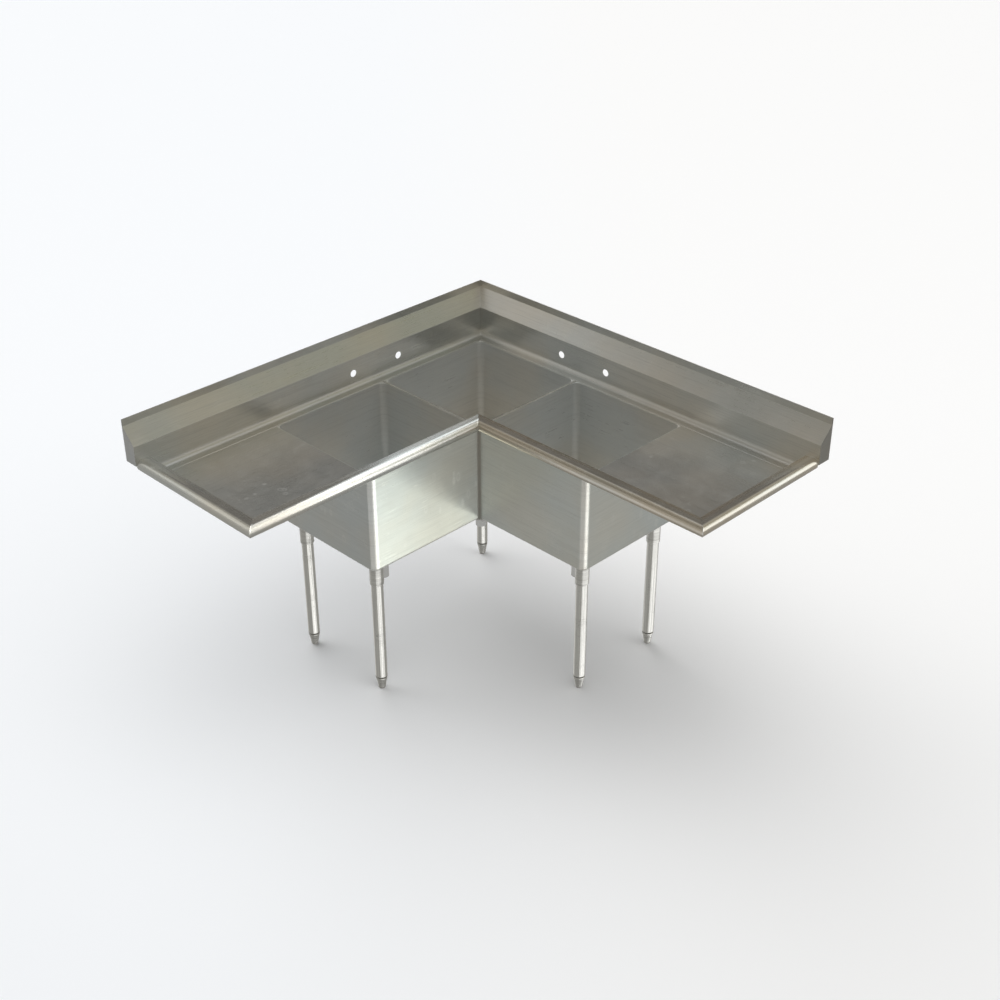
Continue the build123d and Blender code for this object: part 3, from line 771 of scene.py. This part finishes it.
def make_world():
    w = bpy.data.worlds.new("studio")
    bpy.context.scene.world = w
    w.use_nodes = True
    nt = w.node_tree
    nt.nodes.clear()
    out = nt.nodes.new("ShaderNodeOutputWorld")
    bg = nt.nodes.new("ShaderNodeBackground")
    tc = nt.nodes.new("ShaderNodeTexCoord").outputs["Generated"]
    sep = nt.nodes.new("ShaderNodeSeparateXYZ")
    nt.links.new(tc, sep.inputs[0])
    height = nt.nodes.new("ShaderNodeMapRange")
    nt.links.new(sep.outputs["Z"], height.inputs["Value"])
    height.inputs["From Min"].default_value = -1.0

    def ramp(stops):
        stops = [((v + 1) / 2, c) for v, c in stops]
        r = nt.nodes.new("ShaderNodeValToRGB")
        nt.links.new(height.outputs["Result"], r.inputs["Fac"])
        e = r.color_ramp.elements
        e[0].position, e[0].color = stops[0][0], (*stops[0][1], 1)
        e[1].position, e[1].color = stops[-1][0], (*stops[-1][1], 1)
        for p, c in stops[1:-1]:
            e.new(p).color = (*c, 1)
        return r.outputs["Color"]

    def mix(fac, a, b, blend="MIX"):
        n = nt.nodes.new("ShaderNodeMix")
        n.data_type = "RGBA"
        n.blend_type = blend
        nt.links.new(fac, n.inputs[0])
        nt.links.new(a, n.inputs[6])
        if isinstance(b, tuple):
            n.inputs[7].default_value = (*b, 1)
        else:
            nt.links.new(b, n.inputs[7])
        return n.outputs[2]

    def near(d, c0, c1):
        dot = nt.nodes.new("ShaderNodeVectorMath")
        dot.operation = "DOT_PRODUCT"
        nt.links.new(tc, dot.inputs[0])
        dot.inputs[1].default_value = Vector(d).normalized()
        mr = nt.nodes.new("ShaderNodeMapRange")
        mr.interpolation_type = "SMOOTHSTEP"
        nt.links.new(dot.outputs["Value"], mr.inputs["Value"])
        mr.inputs["From Min"].default_value = c0
        mr.inputs["From Max"].default_value = c1
        return mr.outputs["Result"]

    col = ramp(MIRROR_SKY)
    for d, c0, c1, c in PATCHES:
        col = mix(near(d, c0, c1), col, c)
    sky = ramp(SKY)
    for d, c0, c1, c in PANELS:
        sky = mix(near(d, c0, c1), sky, c, "ADD")
    path = nt.nodes.new("ShaderNodeLightPath")
    final = mix(path.outputs["Is Glossy Ray"], sky, col)
    final = mix(path.outputs["Is Camera Ray"], final, (0.95, 0.95, 0.95))
    nt.links.new(final, bg.inputs["Color"])
    bg.inputs["Strength"].default_value = 1.0
    nt.links.new(bg.outputs["Background"], out.inputs["Surface"])


def card(name, centre, facing, size, radiance, receivers, colour=(1, 1, 1), blockers=()):
    """Soft light that only the named nodes mirror. size is (across, up)."""
    d = bpy.data.lights.new(name, "AREA")
    d.shape = "RECTANGLE"
    d.size, d.size_y = size
    d.energy = radiance * math.pi * size[0] * size[1]
    d.color = colour
    o = bpy.data.objects.new(name, d)
    bpy.context.scene.collection.objects.link(o)
    o.location = centre
    o.rotation_euler = Vector(facing).to_track_quat("-Z", "Y").to_euler()
    o.visible_camera = False
    o.visible_diffuse = False
    coll = bpy.data.collections.new(name + "_lit")
    for n in receivers:
        coll.objects.link(NODES[n])
    o.light_linking.receiver_collection = coll
    block = bpy.data.collections.new(name + "_blockers")
    for n in blockers:
        block.objects.link(NODES[n])
    o.light_linking.blocker_collection = block
    return o


def far_card(name, turn, spread, height, radiance, receivers, colour=(1, 1, 1), blockers=(),
             dist=6.0, lift=-30.8):
    """Card far away: turn is its bearing from the camera's side, in degrees to the
    right, and spread how wide it is from there. Uprights mirror what lies below the
    floor's level, so such a card is not shaded by the floor."""
    a, e = math.radians(turn - 45), math.radians(lift)
    d = Vector((math.cos(e) * math.cos(a), math.cos(e) * math.sin(a), math.sin(e)))
    width = 2 * dist * math.cos(e) * math.tan(math.radians(spread / 2))
    return card(name, Vector((0, 0, 0.4)) + d * dist, -d, (width, height), radiance,
                receivers, colour, blockers)


def make_cards():
    # rolled rims
    card("card_rim_top", (0.9, 1.4, 3.6), (0, -1, 0), (4.6, 1.2), 2.7, ["left_front_rim"],
         (1.0, 0.995, 0.965))
    card("card_rim_side", (2.55, 1.4, 1.6), (0, -1, 0), (1.3, 2.8), 2.6, ["left_front_rim"],
         (1.0, 0.995, 0.965))
    card("card_rim_corner", (-1.65, 1.4, 2.6), (0, -1, 0), (1.5, 1.6), 1.15,
         ["left_front_rim"], (0.92, 1.0, 1.04))
    card("card_left_end", (-1.36, -1.5, 1.87), (0.607, 0.512, -0.607), (1.2, 0.9), 0.62,
         ["left_end_rim"], (1.0, 0.98, 0.92))
    card("card_right_back", (2.12, 1.62, 1.60), (-0.71, -0.607, -0.34), (2.6, 1.25), 1.3,
         ["right_end_rim"], (0.92, 1.0, 1.08), ["right_end_rim", "right_backsplash"])
    # outer faces of the bowls
    card("card_right_low", (0.72, 0.35, 0.012), (0, 0, 1), (1.14, 1.2), 1.36,
         ["left_bowl"], (0.95, 1.0, 0.88),
         ["left_bowl", "left_front_rim", "right_bowl", "corner_bowl"])
    for side in ("left", "right"):
        far_card("card_" + side + "_corner", 46, 46, 3.0, 1.8, [side + "_bowl"], (1, 1, 0.97),
                 [side + "_bowl"])
    far_card("card_inner_corner", 0, 130, 3.0, 0.45, ["corner_bowl"], (0.95, 1, 0.97))
    far_card("card_right_rim", -84, 44, 4.9, 0.36, ["right_front_rim"], (0.90, 0.97, 1.12),
             lift=-18)
    # coved inner corners
    for k, turn in enumerate((-30, 30)):
        far_card("card_cove_%d" % k, turn, 56, 3.4, 0.16,
                 ["corner_bowl", "left_bowl", "right_bowl"])
    # faces and slopes of the backsplashes
    card("card_left_splash", (-0.47, 0.14, 0.93), (0, 0, 1), (0.42, 0.7), 0.15,
         ["left_backsplash"], (1.0, 0.96, 0.90))
    card("card_right_splash", (-0.1, 0.47, 0.93), (0, 0, 1), (0.9, 0.42), 0.09,
         ["right_backsplash"])
    card("card_right_slope", (-1.53, -0.03, 1.97), (0.61, 0.51, -0.61), (0.9, 0.9), 0.32,
         ["right_backsplash"])
    # legs
    for side, turns, spread in (("left", (10, 51), 42), ("right", (26, 64, 100), 37)):
        lit = [l + s for l in LEGS if l.startswith(side) or (side == "left" and l == "corner")
               for s in ("_leg", "_leg_socket", "_foot")]
        for k, turn in enumerate(turns):
            far_card("card_%s_legs_%d" % (side, k), turn, spread, 5.0, 0.98, lit)
        far_card("card_%s_legs_far" % side, 212, 66, 5.0, 0.32, lit)


make_stage()
make_world()
make_cards()

bpy.context.scene.view_settings.view_transform = "Standard"
bpy.context.scene.view_settings.look = "None"
